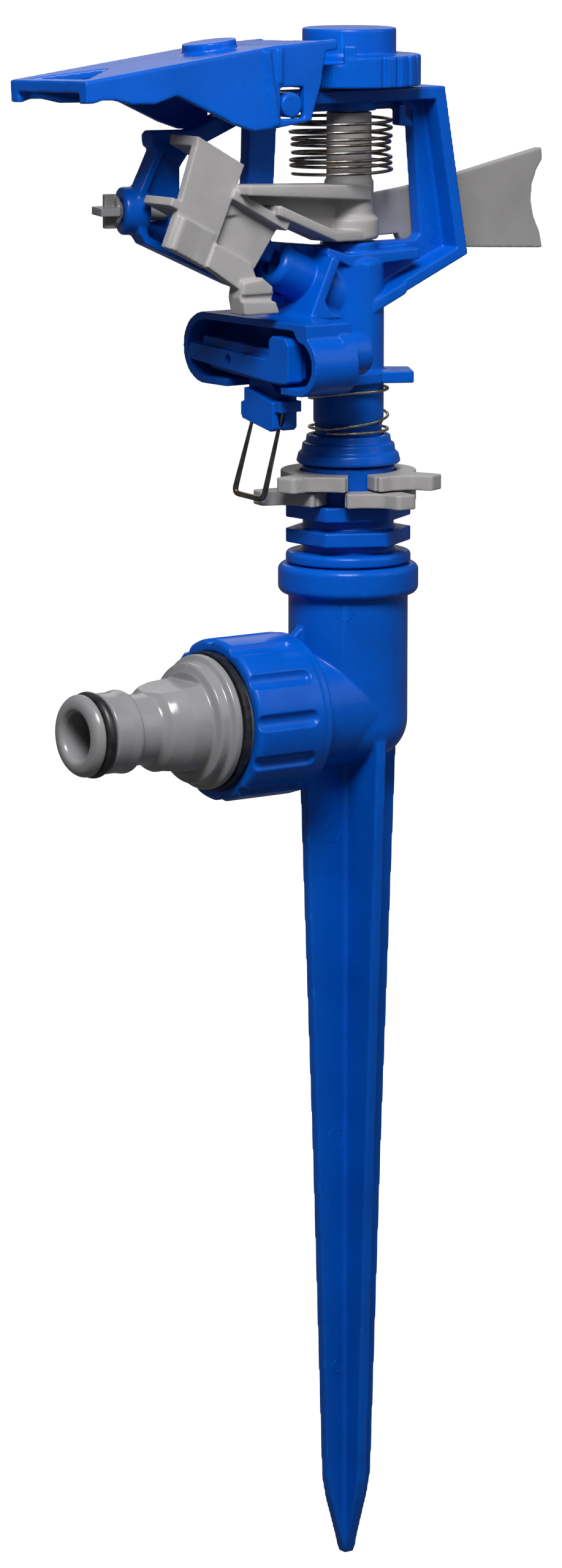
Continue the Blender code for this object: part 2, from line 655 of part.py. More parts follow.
# ---- impact arm ----------------------------------------------------------------------
def impact_arm(parent):
    """Vane and spoon on the jet side, fishtail counterweight on the other."""
    half = ARM_THICK / 2
    arm = turned("impact_arm", [
        (0.0, HUB_Z[0]), (5.3, HUB_Z[0]), (5.7, HUB_Z[0] + 0.5), (5.7, 104.2), (HUB_R, 105.0),
        (HUB_R, 111.4), (HUB_R - 0.4, 111.8), (HUB_R - 0.4, HUB_Z[1]), (0.0, HUB_Z[1])], 28)
    web = prism("web", [(-2.0, 101.0), (-9.0, 101.2), (-24.0, 106.6), (-37.0, 106.6), (-37.0, 111.2),
                        (-2.0, 110.2)], -half, half)
    tail_tip = [(55.4, 115.0), (55.6, 112.6), (53.9, 110.6), (52.5, 107.6), (52.3, 104.6), (53.2, 101.4),
                (55.0, 98.4), (55.8, 95.2)]
    tail_top = [(2.0, 100.5), (2.0, 108.3), (15.6, 109.4), (32.0, 111.4)]
    tail_bottom = [(34.0, 96.6), (14.6, 98.4), (13.2, 100.5)]
    tail = prism("tail", tail_top + tail_tip + tail_bottom, -half, half)
    top_flange = prism("top_flange", [(0.5, 107.9), (0.5, 110.7), (-33.0, 112.3), (-33.0, 110.6)], -5.3, 1.8)
    low_flange = prism("low_flange", [(-1.0, 100.4), (-9.0, 100.6), (-25.0, 106.4), (-25.0, 108.2),
                                      (-9.0, 102.4), (-1.0, 102.2)], -5.3, 1.8)
    for piece in (web, tail, top_flange, low_flange):
        moved(piece, Matrix.Rotation(math.radians(ARM_TURN), 4, 'Z'))
    spoon_wall = spoon_prism("spoon_wall", [(39.6, -6.8), (50.0, -6.6), (50.2, 1.0), (51.6, 14.6),
                                          (39.8, 13.8)], -8.2, -6.4)
    top_lip = spoon_prism("top_lip", [(39.8, 12.2), (51.4, 12.9), (51.9, 14.8), (39.8, 14.0)], -8.2, 0.8)
    mid_lip = spoon_prism("mid_lip", [(41.0, 0.5), (52.3, 0.7), (52.3, 2.4), (41.0, 2.3)], -8.2, 0.8)
    vane_rib = spoon_prism("vane_rib", [(26.0, 6.4), (40.2, 7.1), (40.2, 9.0), (26.0, 8.2)], -8.8, -4.2)
    vane_web = spoon_prism("vane_web", [(28.5, -2.5), (40.1, -2.3), (40.3, 8.8), (26.5, 8.0)], -6.6, -4.9)
    low_vane = spoon_prism("low_vane", [(31.0, -2.1), (40.2, -1.9), (40.2, -6.5), (32.0, -7.6), (28.8, -6.8),
                                      (28.6, -4.4)], -8.8, -6.3)
    tie = spoon_prism("tie", [(30.5, -3.4), (39.9, -3.2), (39.9, -1.7), (30.5, -1.9)], -8.5, -5.2)
    hook = prism("hook", [(-31.7, 94.6), (-32.2, 91.4), (-31.6, 88.2), (-23.6, 88.2), (-24.9, 90.8),
                          (-24.4, 92.2), (-27.0, 95.0)], -9.4, -5.5)
    joined(arm, web, tail, top_flange, low_flange, spoon_wall, top_lip, mid_lip, vane_web, vane_rib,
           low_vane, tie, hook)
    hub_bore = turned("hub_bore", [(0.0, 99.0), (PIN_R + GAP, 99.0), (PIN_R + GAP, 126.0), (0.0, 126.0)], 16)
    cut(arm, hub_bore)
    return finish(arm, grey_plastic, parent)


def arm_spring(parent):
    """Torsion coil around the arm's hub, set slightly off the hub's axis."""
    coil = [(x - 1.5, y + 0.5, z) for x, y, z in helix(9.4, 112.8, 123.4, 8.0, 150.0, 15)]
    spring = wire("arm_spring", coil, 0.28)
    return finish(spring, steel, parent)


# ---- jet breaker, cam wheel and flap -------------------------------------------------
def jet_breaker_screw(parent):
    screw = turned("jet_breaker_screw", [(0.0, -5.2), (1.3, -5.2), (1.85, -4.4), (1.85, 4.6), (2.9, 4.6),
                                         (2.9, 5.5), (0.0, 5.5)], 20)
    for turn, end in ((0.0, 7.4), (90.0, 8.8)):
        wing = box("wing", (-3.2, 3.2), (-0.75, 0.75), (5.0, end))
        moved(wing, Matrix.Rotation(math.radians(turn), 4, 'Z'))
        joined(screw, wing)
    return finish(jet_screw_frame(screw), grey_plastic, parent)


def range_wheel(parent):
    """Cam under a low round cap, knurled except on its stepped side, free to turn on the bridge's stud."""
    wheel = turned("range_wheel", [
        (3.3, CAM_Z[0]), (CAM_R, CAM_Z[0]), (CAM_R, CAM_Z[1] - 0.3), (CAM_R - 0.3, CAM_Z[1]),
        (CAP_R, CAM_Z[1]), (CAP_R, CAP_TOP_Z - 0.5), (CAP_R - 0.5, CAP_TOP_Z), (CAP_R - 1.5, CAP_TOP_Z),
        (CAP_R - 2.0, CAP_TOP_Z - 1.0), (0.0, CAP_TOP_Z - 1.0), (0.0, 135.2), (3.3, 135.2)], 48)
    for index in range(CAM_RIBS):
        angle = 360.0 * index / CAM_RIBS
        if 100.0 < angle < 262.0:
            continue
        groove = box("groove", (CAM_R - 0.7, CAM_R + 1.0), (-0.55, 0.55), (CAM_Z[0] - 1.0, CAM_Z[1] + 1.0))
        cut(wheel, moved(groove, Matrix.Rotation(math.radians(angle), 4, 'Z')))
    step = prism("step", arc((0, 0), CAM_R + 2.0, 151, 231, 10) + arc((0, 0), CAP_R + GAP, 231, 151, 10),
                 133.9, CAM_Z[1] + 1.0, "XY")
    cut(wheel, step)
    tab = box("tab", (CAM_R - 2.2, CAM_R - 0.1), (-1.2, 1.2), (CAM_Z[1] - 1.0, 137.4))
    joined(wheel, moved(tab, Matrix.Rotation(math.radians(234.0), 4, 'Z')))
    return finish(wheel, blue_plastic, parent)


def deflector_flap(parent):
    """Wedge-shaped hood, open below, whose cheeks sit over the ends of the bridge's hinge bar."""
    front = -68.4
    top = [(front, 132.5), (-26.1, 137.6), (-11.7, 138.4)]
    rear = [(-11.7, 136.5), (-14.3, 136.2), (-15.7, 130.0), (-18.0, 123.5)]
    bottom = [(-26.0, 122.4), (-31.3, 122.1), (-35.8, 123.6), (-48.2, 129.2), (-53.2, 127.8), (-58.0, 127.9),
              (-62.0, 128.8), (-64.8, 128.9), (-66.6, 128.4), (front, 128.4)]
    flap = prism("deflector_flap", top + rear + bottom, -FLAP_HALF, FLAP_HALF)
    inside_top = [(front + FLAP_WALL, 131.0), (-26.1, 135.9), (-9.0, 136.9)]
    inside = inside_top + [(-9.0, 110.0), (front + FLAP_WALL, 110.0)]
    width = FLAP_HALF - FLAP_WALL
    cut(flap, prism("inside", inside, -width, width))
    slot = box("front_slot", (front - 1.0, front + 2.6), (-10.0, 10.0), (120.0, 130.3))
    cam_bay = prism("cam_bay", arc((0, 0), CAM_R + 1.0, 90, 270, 12), 110.0, 145.0, "XY")
    rear_cut = box("rear_cut", (-14.2, -5.0), (-width, width), (110.0, 145.0))
    vent = prism("vent", [(-66.2, -9.6), (-66.2, 9.6), (-53.5, 2.0)], 125.0, 140.0, "XY")
    stud = turned("stud", [(0.0, 0.0), (5.1, 0.0), (5.1, 2.3), (0.0, 2.3)], 28)
    moved(stud, Matrix.Translation((-32.0, 0.0, 136.3)) @ Matrix.Rotation(math.radians(-6.8), 4, 'Y'))
    hinge_hole = box("hinge_hole", (HINGE_X - 2.7, HINGE_X + 2.7), (-14.0, 14.0),
                     (HINGE_Z - 2.9, HINGE_Z + 2.9))
    cut(flap, slot, cam_bay, rear_cut, vent, hinge_hole)
    joined(flap, stud)
    lean = Matrix.Translation((0.0, 0.0, HINGE_Z)) @ Matrix.Rotation(math.radians(FLAP_LEAN), 4, 'X')
    moved(flap, lean @ Matrix.Translation((0.0, 0.0, -HINGE_Z)))
    return finish(flap, blue_plastic, parent)


# ---- trip mechanism ------------------------------------------------------------------
def trip_pin_solid(name, pivot, grow=0.0):
    """Short pin along X through the back wall of the trip housing."""
    radius = 0.7 + grow
    start = TRIP_FRONT + (1.2 if pivot == LEVER_PIVOT else 4.0) - grow
    end = TRIP_BACK + 1.2 + grow
    pin = turned(name, [(0.0, start), (radius, start), (radius, end), (0.0, end)], 12)
    turn = Matrix.Rotation(math.radians(90.0), 4, 'Y')
    return moved(pin, Matrix.Translation((0.0, pivot[0], pivot[1])) @ turn)


def trip_lever(parent):
    """Stepped rocker across the housing's mouth, with an upright thumb at its near end."""
    front = TRIP_FRONT - 0.6
    bar = [(18.4, 77.4), (18.9, 78.8), (18.5, 80.5), (-6.0, 79.3), (-7.2, 80.4), (-7.2, 83.0), (-8.2, 83.8),
           (-12.2, 83.6), (-13.4, 82.4), (-13.4, 75.5), (-12.4, 75.0), (-8.0, 75.0), (10.0, 76.6)]
    lever = prism("trip_lever", bar, front, front + 3.4, "YZ")
    upper_ledge = prism("upper_ledge", [(16.8, 78.5), (16.6, 81.9), (-4.0, 80.9), (-8.0, 80.6),
                                        (-8.0, 76.0), (4.0, 77.0)], front + 1.8, front + 3.8, "YZ")
    lower_ledge = prism("lower_ledge", [(15.4, 78.0), (13.4, 76.0), (7.0, 75.3), (-9.3, 74.4), (-9.3, 76.4)],
                        front + 1.6, front + 3.4, "YZ")
    thumb = prism("thumb", [(-9.4, 75.4), (-9.4, 83.0), (-12.2, 83.0), (-13.0, 82.0), (-13.0, 75.9),
                            (-12.2, 75.4)], front + 3.0, front + 4.6, "YZ")
    joined(lever, upper_ledge, lower_ledge, thumb)
    hole = box("hole", (TRIP_FRONT - 2.0, TRIP_FRONT + 2.0), (LEVER_PIVOT[0] - 0.6, LEVER_PIVOT[0] + 0.6),
               (LEVER_PIVOT[1] - 0.8, LEVER_PIVOT[1] + 0.8))
    cut(lever, trip_pin_solid("bore", LEVER_PIVOT, GAP), hole)
    return finish(lever, blue_plastic, parent)


def trip_dog(parent):
    """Block that hangs from its pin through the housing's throat and holds the trip wire."""
    back = TRIP_BACK - TRIP_WALL - GAP
    block = prism("trip_dog", [(4.2, 79.6), (-0.6, 79.6), (-1.8, 74.6), (-4.0, 72.4), (-4.0, 68.6),
                               (5.4, 68.6), (4.8, 75.4)], TRIP_FRONT + 3.6, back, "YZ")
    jaw = prism("jaw", [(2.9, 73.2), (-3.4, 71.6), (-6.2, 70.9), (-6.2, 66.0), (-5.4, 65.4), (3.4, 67.2),
                        (4.0, 68.0), (4.0, 70.3), (2.9, 70.7)], WIRE_X - 2.2, back - 1.6, "YZ")
    lobe = box("lobe", (WIRE_X - 1.7, back - 1.9), (-8.1, -5.8), (69.1, 71.2))
    joined(block, jaw, lobe)
    cut(block, trip_pin_solid("bore", DOG_PIVOT, GAP))
    for top, foot in zip(WIRE_TOPS, WIRE_FEET):
        high = Vector((WIRE_X, *top))
        lean = (Vector((WIRE_X, *foot)) - high).normalized()
        cut(block, wire("groove", [high - lean * 0.4, high + lean * 8.0], WIRE_R + GAP))
    return finish(block, blue_plastic, parent)


def trip_wire(parent):
    """U of spring wire, its legs leaning away from the collar's finger."""
    left_top, right_top = [(WIRE_X, y, z) for y, z in WIRE_TOPS]
    left_foot, right_foot = [(WIRE_X, y, z) for y, z in WIRE_FEET]
    corners = [Vector(left_top), Vector(left_foot), Vector(right_foot), Vector(right_top)]
    path = [corners[0]]
    for before, corner, after in zip(corners, corners[1:], corners[2:]):
        start = corner + (before - corner).normalized() * 1.6
        end = corner + (after - corner).normalized() * 1.6
        for step in range(5):
            share = step / 4
            path.append(start.lerp(corner, share).lerp(corner.lerp(end, share), share))
    path.append(corners[-1])
    return finish(wire("trip_wire", path, WIRE_R, 8), steel, parent)


def trip_spring(parent):
    """Over-centre wire spring between the lever and the dog."""
    x = TRIP_FRONT + 6.0
    path = [(x, -3.4, 83.4), (x, -2.6, 82.6), (x, -1.0, 82.2), (x, 0.4, 81.6), (x, 0.9, 80.9)]
    return finish(wire("trip_spring", path, 0.25), steel, parent)


# ---- the assembly --------------------------------------------------------------------
def clear_scene():
    for obj in list(bpy.data.objects):
        bpy.data.objects.remove(obj, do_unlink=True)


def build():
    clear_scene()
    base = axis_empty("stake_frame", (0, 0, 0))
    ground_stake(base)
    swivel_tailpiece(base)
    socket_washer(base)
    bearing_sleeve(base)

    inlet = axis_empty("inlet_axis", (0, 0, INLET_Z), base)
    inlet_nut(inlet)
    tail_washer(inlet)
    hose_adapter(inlet)
    inlet_washer(inlet)
    nipple_o_ring(inlet)

    lower_axis = axis_empty("lower_collar_axis", (0, 0, 52), base)
    trip_collar("lower_trip_collar", LOWER_COLLAR_Z, LOWER_COLLAR_TURN, lower_axis)
    upper_axis = axis_empty("upper_collar_axis", (0, 0, 55), base)
    trip_collar("upper_trip_collar", UPPER_COLLAR_Z, UPPER_COLLAR_TURN, upper_axis)

    head = axis_empty("head_axis", (0, 0, 60), base)
    bearing_tube(head)
    bearing_washer("bearing_seal", 20.5, 22.0, black_rubber, head)
    bearing_washer("bearing_slip_washer", 22.3, 23.3, white_washer, head)
    bearing_washer("bearing_wear_washer", 23.6, 25.6, black_rubber, head)
    dust_cap(head)
    friction_spring(head)
    head_body(head)
    main_nozzle(head)
    arm_pivot_pin(head)

    impact_arm(axis_empty("arm_axis", (0, 0, 110), head))
    arm_spring(head)
    jet_breaker_screw(axis_empty("screw_axis", SCREW_FACE, head))
    range_wheel(axis_empty("wheel_axis", (0, 0, 132), head))
    deflector_flap(axis_empty("flap_axis", (HINGE_X, 0, HINGE_Z), head))

    finish(trip_pin_solid("lever_pin", LEVER_PIVOT), steel, head)
    finish(trip_pin_solid("dog_pin", DOG_PIVOT), steel, head)
    trip_lever(axis_empty("lever_axis", (TRIP_FRONT, *LEVER_PIVOT), head))
    dog = axis_empty("dog_axis", (WIRE_X, *DOG_PIVOT), head)
    trip_dog(dog)
    trip_wire(dog)
    trip_spring(head)


build()
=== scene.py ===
"""Looks for the impact sprinkler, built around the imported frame.

Shapes are given in millimetres and become metres in mesh_object. Lamps and camera are in metres.
"""
import math

import bmesh
import bpy
from mathutils import Matrix, Vector


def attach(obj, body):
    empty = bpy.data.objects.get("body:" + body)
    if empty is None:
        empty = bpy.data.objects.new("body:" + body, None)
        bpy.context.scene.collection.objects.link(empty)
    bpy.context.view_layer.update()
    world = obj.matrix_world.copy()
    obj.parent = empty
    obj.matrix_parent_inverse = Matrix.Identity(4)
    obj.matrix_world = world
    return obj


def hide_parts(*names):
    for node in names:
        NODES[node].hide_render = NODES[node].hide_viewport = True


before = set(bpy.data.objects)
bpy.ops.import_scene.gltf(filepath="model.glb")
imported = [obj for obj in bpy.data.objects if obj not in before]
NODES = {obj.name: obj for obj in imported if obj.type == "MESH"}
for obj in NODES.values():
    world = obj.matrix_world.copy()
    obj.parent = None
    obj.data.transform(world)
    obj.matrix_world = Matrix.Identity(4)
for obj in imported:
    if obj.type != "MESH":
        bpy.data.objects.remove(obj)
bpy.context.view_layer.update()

MM = 0.001
TURN_SEGMENTS = 96

INLET_Z = 10.45
JET_ROOT_Z = 88.2
JET_SLOPE = 25.0
SPOON_ROOT_Z = 86.5
ARM_TURN = 11.0
SCREW_TURN = 18.0
SCREW_FACE = (-43.7, 6.05, 107.3)
HINGE = (-22.3, 0.0, 127.0)
FLAP_LEAN = -2.0

COLLAR_TURNS = {"lower": 219.0, "upper": 244.5}
COLLAR_HEIGHTS = {"lower": (50.3, 53.05), "upper": (53.35, 56.2)}
NUT_FLUTES = 12
NUT_FLUTE_PHASE = 5.0
HEX_R = 12.25
HEX_TURN = -28.0

TRIP_X = (-23.5, -13.3)
TRIP_Y = (-21.5, 21.5)
TRIP_Z = (72.9, 86.6)
TRIP_WALL = 1.5
TRIP_NEAR_R = 5.85
TRIP_THROAT = (-10.4, 7.6)
LEVER_PIVOT = (6.0, 78.2)
WIRE_X = -20.3
WIRE_BEND = 1.6

WHEEL_R = 13.6
CAP_R = 8.9
WHEEL_RIBS = 26
SMOOTH_SIDE = (100.0, 262.0)

CAMERA_AZIMUTH = -36.0
CAMERA_PITCH = 10.2
CAMERA_DISTANCE = 1.115
CAMERA_HEIGHT = -0.0052
CAMERA_SHIFT = 0.0129
CAMERA_LENS = 132.19


# ---- mesh helpers --------------------------------------------------------------------
def mesh_object(name, bm, matrix=None):
    if matrix is not None:
        bmesh.ops.transform(bm, matrix=matrix, verts=bm.verts)
    bmesh.ops.scale(bm, vec=(MM, MM, MM), verts=bm.verts)
    bmesh.ops.recalc_face_normals(bm, faces=bm.faces)
    mesh = bpy.data.meshes.new(name)
    bm.to_mesh(mesh)
    bm.free()
    obj = bpy.data.objects.new(name, mesh)
    bpy.context.scene.collection.objects.link(obj)
    return obj


def filleted(points, radius, steps=3, closed=True):
    """Outline with each corner turned into an arc-like curve no longer than radius."""
    out = []
    count = len(points)
    for index, point in enumerate(points):
        here = Vector(point)
        if not closed and index in (0, count - 1):
            out.append(tuple(here))
            continue
        before = Vector(points[index - 1]) - here
        after = Vector(points[(index + 1) % count]) - here
        reach = min(radius, before.length * 0.45, after.length * 0.45)
        if reach < 1e-5:
            out.append(tuple(here))
            continue
        start = here + before.normalized() * reach
        end = here + after.normalized() * reach
        for step in range(steps + 1):
            t = step / steps
            out.append(tuple(start * (1 - t) ** 2 + here * 2 * t * (1 - t) + end * t ** 2))
    return out


def turned(name, profile, segments=TURN_SEGMENTS, matrix=None):
    """Closed (radius, z) outline turned about Z; points at radius 0 lie on the axis."""
    bm = bmesh.new()
    rings = []
    for radius, height in profile:
        if radius < 1e-6:
            rings.append([bm.verts.new((0.0, 0.0, height))] * segments)
            continue
        rings.append([bm.verts.new((radius * math.cos(math.tau * k / segments),
                                    radius * math.sin(math.tau * k / segments), height))
                      for k in range(segments)])
    for index, ring in enumerate(rings):
        following = rings[(index + 1) % len(rings)]
        for k in range(segments):
            beside = (k + 1) % segments
            distinct = list(dict.fromkeys([ring[k], ring[beside], following[beside], following[k]]))
            if len(distinct) > 2:
                bm.faces.new(distinct)
    return mesh_object(name, bm, matrix)


def prism(name, outline, low, high, plane="XZ", matrix=None):
    def place(first, second, along):
        if plane == "XZ":
            return (first, along, second)
        if plane == "YZ":
            return (along, first, second)
        return (first, second, along)

    bm = bmesh.new()
    start = [bm.verts.new(place(a, b, low)) for a, b in outline]
    end = [bm.verts.new(place(a, b, high)) for a, b in outline]
    bm.faces.new(start)
    bm.faces.new(end)
    for index in range(len(outline)):
        beside = (index + 1) % len(outline)
        bm.faces.new((start[index], start[beside], end[beside], end[index]))
    return mesh_object(name, bm, matrix)


def box(name, x, y, z, matrix=None):
    return prism(name, [(x[0], z[0]), (x[1], z[0]), (x[1], z[1]), (x[0], z[1])], y[0], y[1], matrix=matrix)


def arc(centre, radius, start, end, steps):
    return [(centre[0] + radius * math.cos(math.radians(start + (end - start) * k / steps)),
             centre[1] + radius * math.sin(math.radians(start + (end - start) * k / steps)))
            for k in range(steps + 1)]


def wire(name, points, radius, sides=12):
    """Round wire along points, its ends rounded over."""
    bm = bmesh.new()
    path = [Vector(point) for point in points]
    across = None
    rings = []
    last = len(path) - 1
    for index, point in enumerate(path):
        along = (path[min(index + 1, last)] - path[max(index - 1, 0)]).normalized()
        if across is None:
            across = along.orthogonal().normalized()
        across = (across - along * across.dot(along)).normalized()
        side = along.cross(across)
        size = radius * (0.55 if index in (0, last) else 1.0)
        rings.append([bm.verts.new(point + (across * math.cos(math.tau * k / sides)
                                            + side * math.sin(math.tau * k / sides)) * size)
                      for k in range(sides)])
    for ring, following in zip(rings, rings[1:]):
        for k in range(sides):
            beside = (k + 1) % sides
            bm.faces.new((ring[k], ring[beside], following[beside], following[k]))
    bm.faces.new(rings[0])
    bm.faces.new(rings[-1])
    return mesh_object(name, bm)


def copy_of(node):
    """A new piece with the same mesh as a CAD node, to be refined."""
    obj = bpy.data.objects.new(node + "_copy", NODES[node].data.copy())
    bpy.context.scene.collection.objects.link(obj)
    return obj


def baked(obj):
    """Replace the object's mesh by its evaluated mesh and clear its modifiers."""
    depsgraph = bpy.context.evaluated_depsgraph_get()
    mesh = bpy.data.meshes.new_from_object(obj.evaluated_get(depsgraph))
    obj.modifiers.clear()
    obj.data = mesh
    return obj


def combined(obj, other, operation):
    modifier = obj.modifiers.new("combine", 'BOOLEAN')
    modifier.operation = operation
    modifier.solver = 'EXACT'
    modifier.object = other
    baked(obj)
    bpy.data.objects.remove(other)
    return obj


def cut(obj, *cutters):
    for cutter in cutters:
        combined(obj, cutter, 'DIFFERENCE')
    return obj


def merged(name, pieces):
    """All the pieces' meshes as one object; they may overlap."""
    bm = bmesh.new()
    for piece in pieces:
        bm.from_mesh(piece.data)
        bpy.data.objects.remove(piece)
    mesh = bpy.data.meshes.new(name)
    bm.to_mesh(mesh)
    bm.free()
    obj = bpy.data.objects.new(name, mesh)
    bpy.context.scene.collection.objects.link(obj)
    return obj


def moulded(name, pieces, voxel=0.3, passes=4, keep=0.3):
    """Unite overlapping pieces and round every edge and inside corner, as a mould does."""
    obj = merged(name, pieces)
    remesh = obj.modifiers.new("unite", 'REMESH')
    remesh.mode = 'VOXEL'
    remesh.voxel_size = voxel * MM
    remesh.use_smooth_shade = True
    smooth = obj.modifiers.new("round", 'SMOOTH')
    smooth.factor = 0.5
    smooth.iterations = passes
    thin = obj.modifiers.new("thin", 'DECIMATE')
    thin.ratio = keep
    baked(obj)
    obj.data.shade_smooth()
    return obj


def smooth(obj, angle=35.0):
    obj.data.shade_smooth()
    obj.data.set_sharp_from_angle(angle=math.radians(angle))
    return obj


def along_inlet():
    """+Z of a turned piece becomes -X, on the inlet's axis."""
    return Matrix.Translation((0.0, 0.0, INLET_Z)) @ Matrix.Rotation(math.radians(-90.0), 4, 'Y')


def along_jet():
    """+Z of a turned piece becomes the jet's direction."""
    slope = Matrix.Rotation(math.radians(-90.0 + JET_SLOPE), 4, 'Y')
    return Matrix.Translation((0.0, 0.0, JET_ROOT_Z)) @ slope


def screw_frame():
    """+Z of a turned piece becomes the screw's axis, with z = 0 at the bracket's front wall."""
    return (Matrix.Translation(SCREW_FACE) @ Matrix.Rotation(math.radians(-SCREW_TURN), 4, 'Z')
            @ Matrix.Rotation(math.radians(-90.0), 4, 'Y'))


def spoon_frame():
    """x runs up the jet's slope away from the spindle, y stays Y, z is square to the slope."""
    slope = math.radians(JET_SLOPE)
    return Matrix(((-math.cos(slope), 0.0, math.sin(slope), 0.0),
                   (0.0, 1.0, 0.0, 0.0),
                   (math.sin(slope), 0.0, math.cos(slope), SPOON_ROOT_Z),
                   (0.0, 0.0, 0.0, 1.0)))


# ---- materials -----------------------------------------------------------------------
class Nodes:
    def __init__(self, name):
        self.material = bpy.data.materials.new(name)
        self.material.use_nodes = True
        self.tree = self.material.node_tree
        self.shader = self.tree.nodes["Principled BSDF"]
        self.coords = self.tree.nodes.new("ShaderNodeTexCoord")

    def add(self, kind):
        return self.tree.nodes.new(kind)

    def link(self, a, b):
        self.tree.links.new(a, b)

    def noise(self, scale, detail=4.0, roughness=0.55):
        node = self.add("ShaderNodeTexNoise")
        node.inputs["Scale"].default_value = scale
        node.inputs["Detail"].default_value = detail
        node.inputs["Roughness"].default_value = roughness
        self.link(self.coords.outputs["Object"], node.inputs["Vector"])
        return node

    def ramp(self, source, stops):
        node = self.add("ShaderNodeValToRGB")
        elements = node.color_ramp.elements
        while len(elements) < len(stops):
            elements.new(0.5)
        for element, (position, colour) in zip(elements, stops):
            element.position = position
            element.color = (*colour, 1.0)
        self.link(source, node.inputs["Fac"])
        return node

    def mix(self, factor, colour, other):
        """Blend a colour output towards one fixed colour by a factor output."""
        node = self.add("ShaderNodeMix")
        node.data_type = 'RGBA'
        self.link(factor, node.inputs["Factor"])
        self.link(colour, node.inputs["A"])
        node.inputs["B"].default_value = (*other, 1.0)
        return node.outputs["Result"]

    def bump(self, layers):
        """Chain of bumps: (height output, strength, distance in millimetres)."""
        last = None
        for height, strength, distance in layers:
            node = self.add("ShaderNodeBump")
            node.inputs["Strength"].default_value = strength
            node.inputs["Distance"].default_value = distance * MM
            self.link(height, node.inputs["Height"])
            if last is not None:
                self.link(last, node.inputs["Normal"])
            last = node.outputs["Normal"]
        self.link(last, self.shader.inputs["Normal"])


def plastic(name, deep, main, speck_and_highlight, rough, grain=0.25, gloss=0.3):
    """Moulded plastic: flow marks, light specks, convex edges paled as a painted highlight, and a fine grain.
    """
    n = Nodes(name)
    flow = n.noise(55.0, 5.0, 0.6)
    colour = n.ramp(flow.outputs["Fac"], [(0.25, deep), (0.6, main)]).outputs["Color"]
    speck = n.noise(2600.0, 2.0)
    specks = n.ramp(speck.outputs["Fac"], [(0.62, (0, 0, 0)), (0.8, (0.25, 0.25, 0.25))])
    colour = n.mix(specks.outputs["Color"], colour, speck_and_highlight)
    # Pointiness pales the convex edges towards the pale colour, as a painted highlight; the same pale colour
    # also tints the random specks.
    edge = n.add("ShaderNodeNewGeometry")
    edge_highlight = n.ramp(edge.outputs["Pointiness"], [(0.54, (0, 0, 0)), (0.66, (0.22, 0.22, 0.22))])
    colour = n.mix(edge_highlight.outputs["Color"], colour, speck_and_highlight)
    n.link(colour, n.shader.inputs["Base Color"])
    haze = n.noise(140.0, 4.0)
    rough_ramp = n.ramp(haze.outputs["Fac"], [(0.3, (rough - 0.06,) * 3), (0.7, (rough + 0.09,) * 3)])
    n.link(rough_ramp.outputs["Color"], n.shader.inputs["Roughness"])
    n.shader.inputs["IOR"].default_value = 1.49
    n.shader.inputs["Specular IOR Level"].default_value = gloss
    peel = n.noise(900.0, 3.0)
    wave = n.noise(160.0, 2.0)
    n.bump([(wave.outputs["Fac"], 0.25, 0.12), (peel.outputs["Fac"], grain, 0.05)])
    return n.material


def rubber(name):
    n = Nodes(name)
    dust = n.noise(350.0, 6.0)
    colour = n.ramp(dust.outputs["Fac"], [(0.35, (0.008, 0.008, 0.009)), (0.75, (0.03, 0.03, 0.032))])
    n.link(colour.outputs["Color"], n.shader.inputs["Base Color"])
    rough = n.ramp(dust.outputs["Fac"], [(0.3, (0.28,) * 3), (0.7, (0.5,) * 3)])
    n.link(rough.outputs["Color"], n.shader.inputs["Roughness"])
    n.bump([(n.noise(1500.0).outputs["Fac"], 0.2, 0.04)])
    return n.material


def spring_steel(name, tint, dark):
    """Drawn wire: fine streaks, brown tarnish in patches."""
    n = Nodes(name)
    tarnish = n.noise(420.0, 6.0, 0.65)
    colour = n.ramp(tarnish.outputs["Fac"], [(0.35, dark), (0.62, tint)]).outputs["Color"]
    n.link(colour, n.shader.inputs["Base Color"])
    n.shader.inputs["Metallic"].default_value = 1.0
    rough = n.ramp(tarnish.outputs["Fac"], [(0.3, (0.42,) * 3), (0.7, (0.2,) * 3)])
    n.link(rough.outputs["Color"], n.shader.inputs["Roughness"])
    n.bump([(n.noise(3000.0).outputs["Fac"], 0.15, 0.02)])
    return n.material


BLUE = plastic("blue_plastic", (0.0, 0.066, 0.40), (0.0, 0.088, 0.51), (0.0, 0.24, 0.85), 0.27, gloss=0.22)
GREY = plastic("grey_plastic", (0.27, 0.262, 0.262), (0.335, 0.325, 0.325), (0.48, 0.475, 0.47), 0.44,
               grain=0.4)
GLOSS_GREY = plastic("glossy_grey_plastic", (0.21, 0.21, 0.22), (0.26, 0.26, 0.27), (0.40, 0.40, 0.41), 0.22,
                     grain=0.15, gloss=0.5)
WHITE = plastic("white_plastic", (0.5, 0.49, 0.46), (0.6, 0.59, 0.56), (0.7, 0.7, 0.68), 0.42)
RUBBER = rubber("black_rubber")
STEEL = spring_steel("spring_wire", (0.62, 0.58, 0.52), (0.30, 0.24, 0.18))
DARK_STEEL = spring_steel("dark_spring_wire", (0.30, 0.27, 0.24), (0.10, 0.075, 0.055))


def placed(obj, paint, body, *nodes):
    """Give a finished piece its material and body, and hide the CAD nodes it stands for."""
    obj.data.materials.clear()
    obj.data.materials.append(paint)
    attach(obj, body)
    if nodes:
        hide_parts(*nodes)
    return obj


def mark(size, matrix):
    """Faint raised ring that an ejector pin leaves."""
    return turned("mark", [(size - 0.14, -0.2), (size + 0.14, -0.2), (size + 0.05, 0.07),
                           (size - 0.05, 0.07)], 40, matrix)


def marks_on(name, marks, body):
    """The marks of one CAD node as a piece of their own on its body."""
    rings = smooth(merged(name, marks))
    placed(rings, BLUE, body)


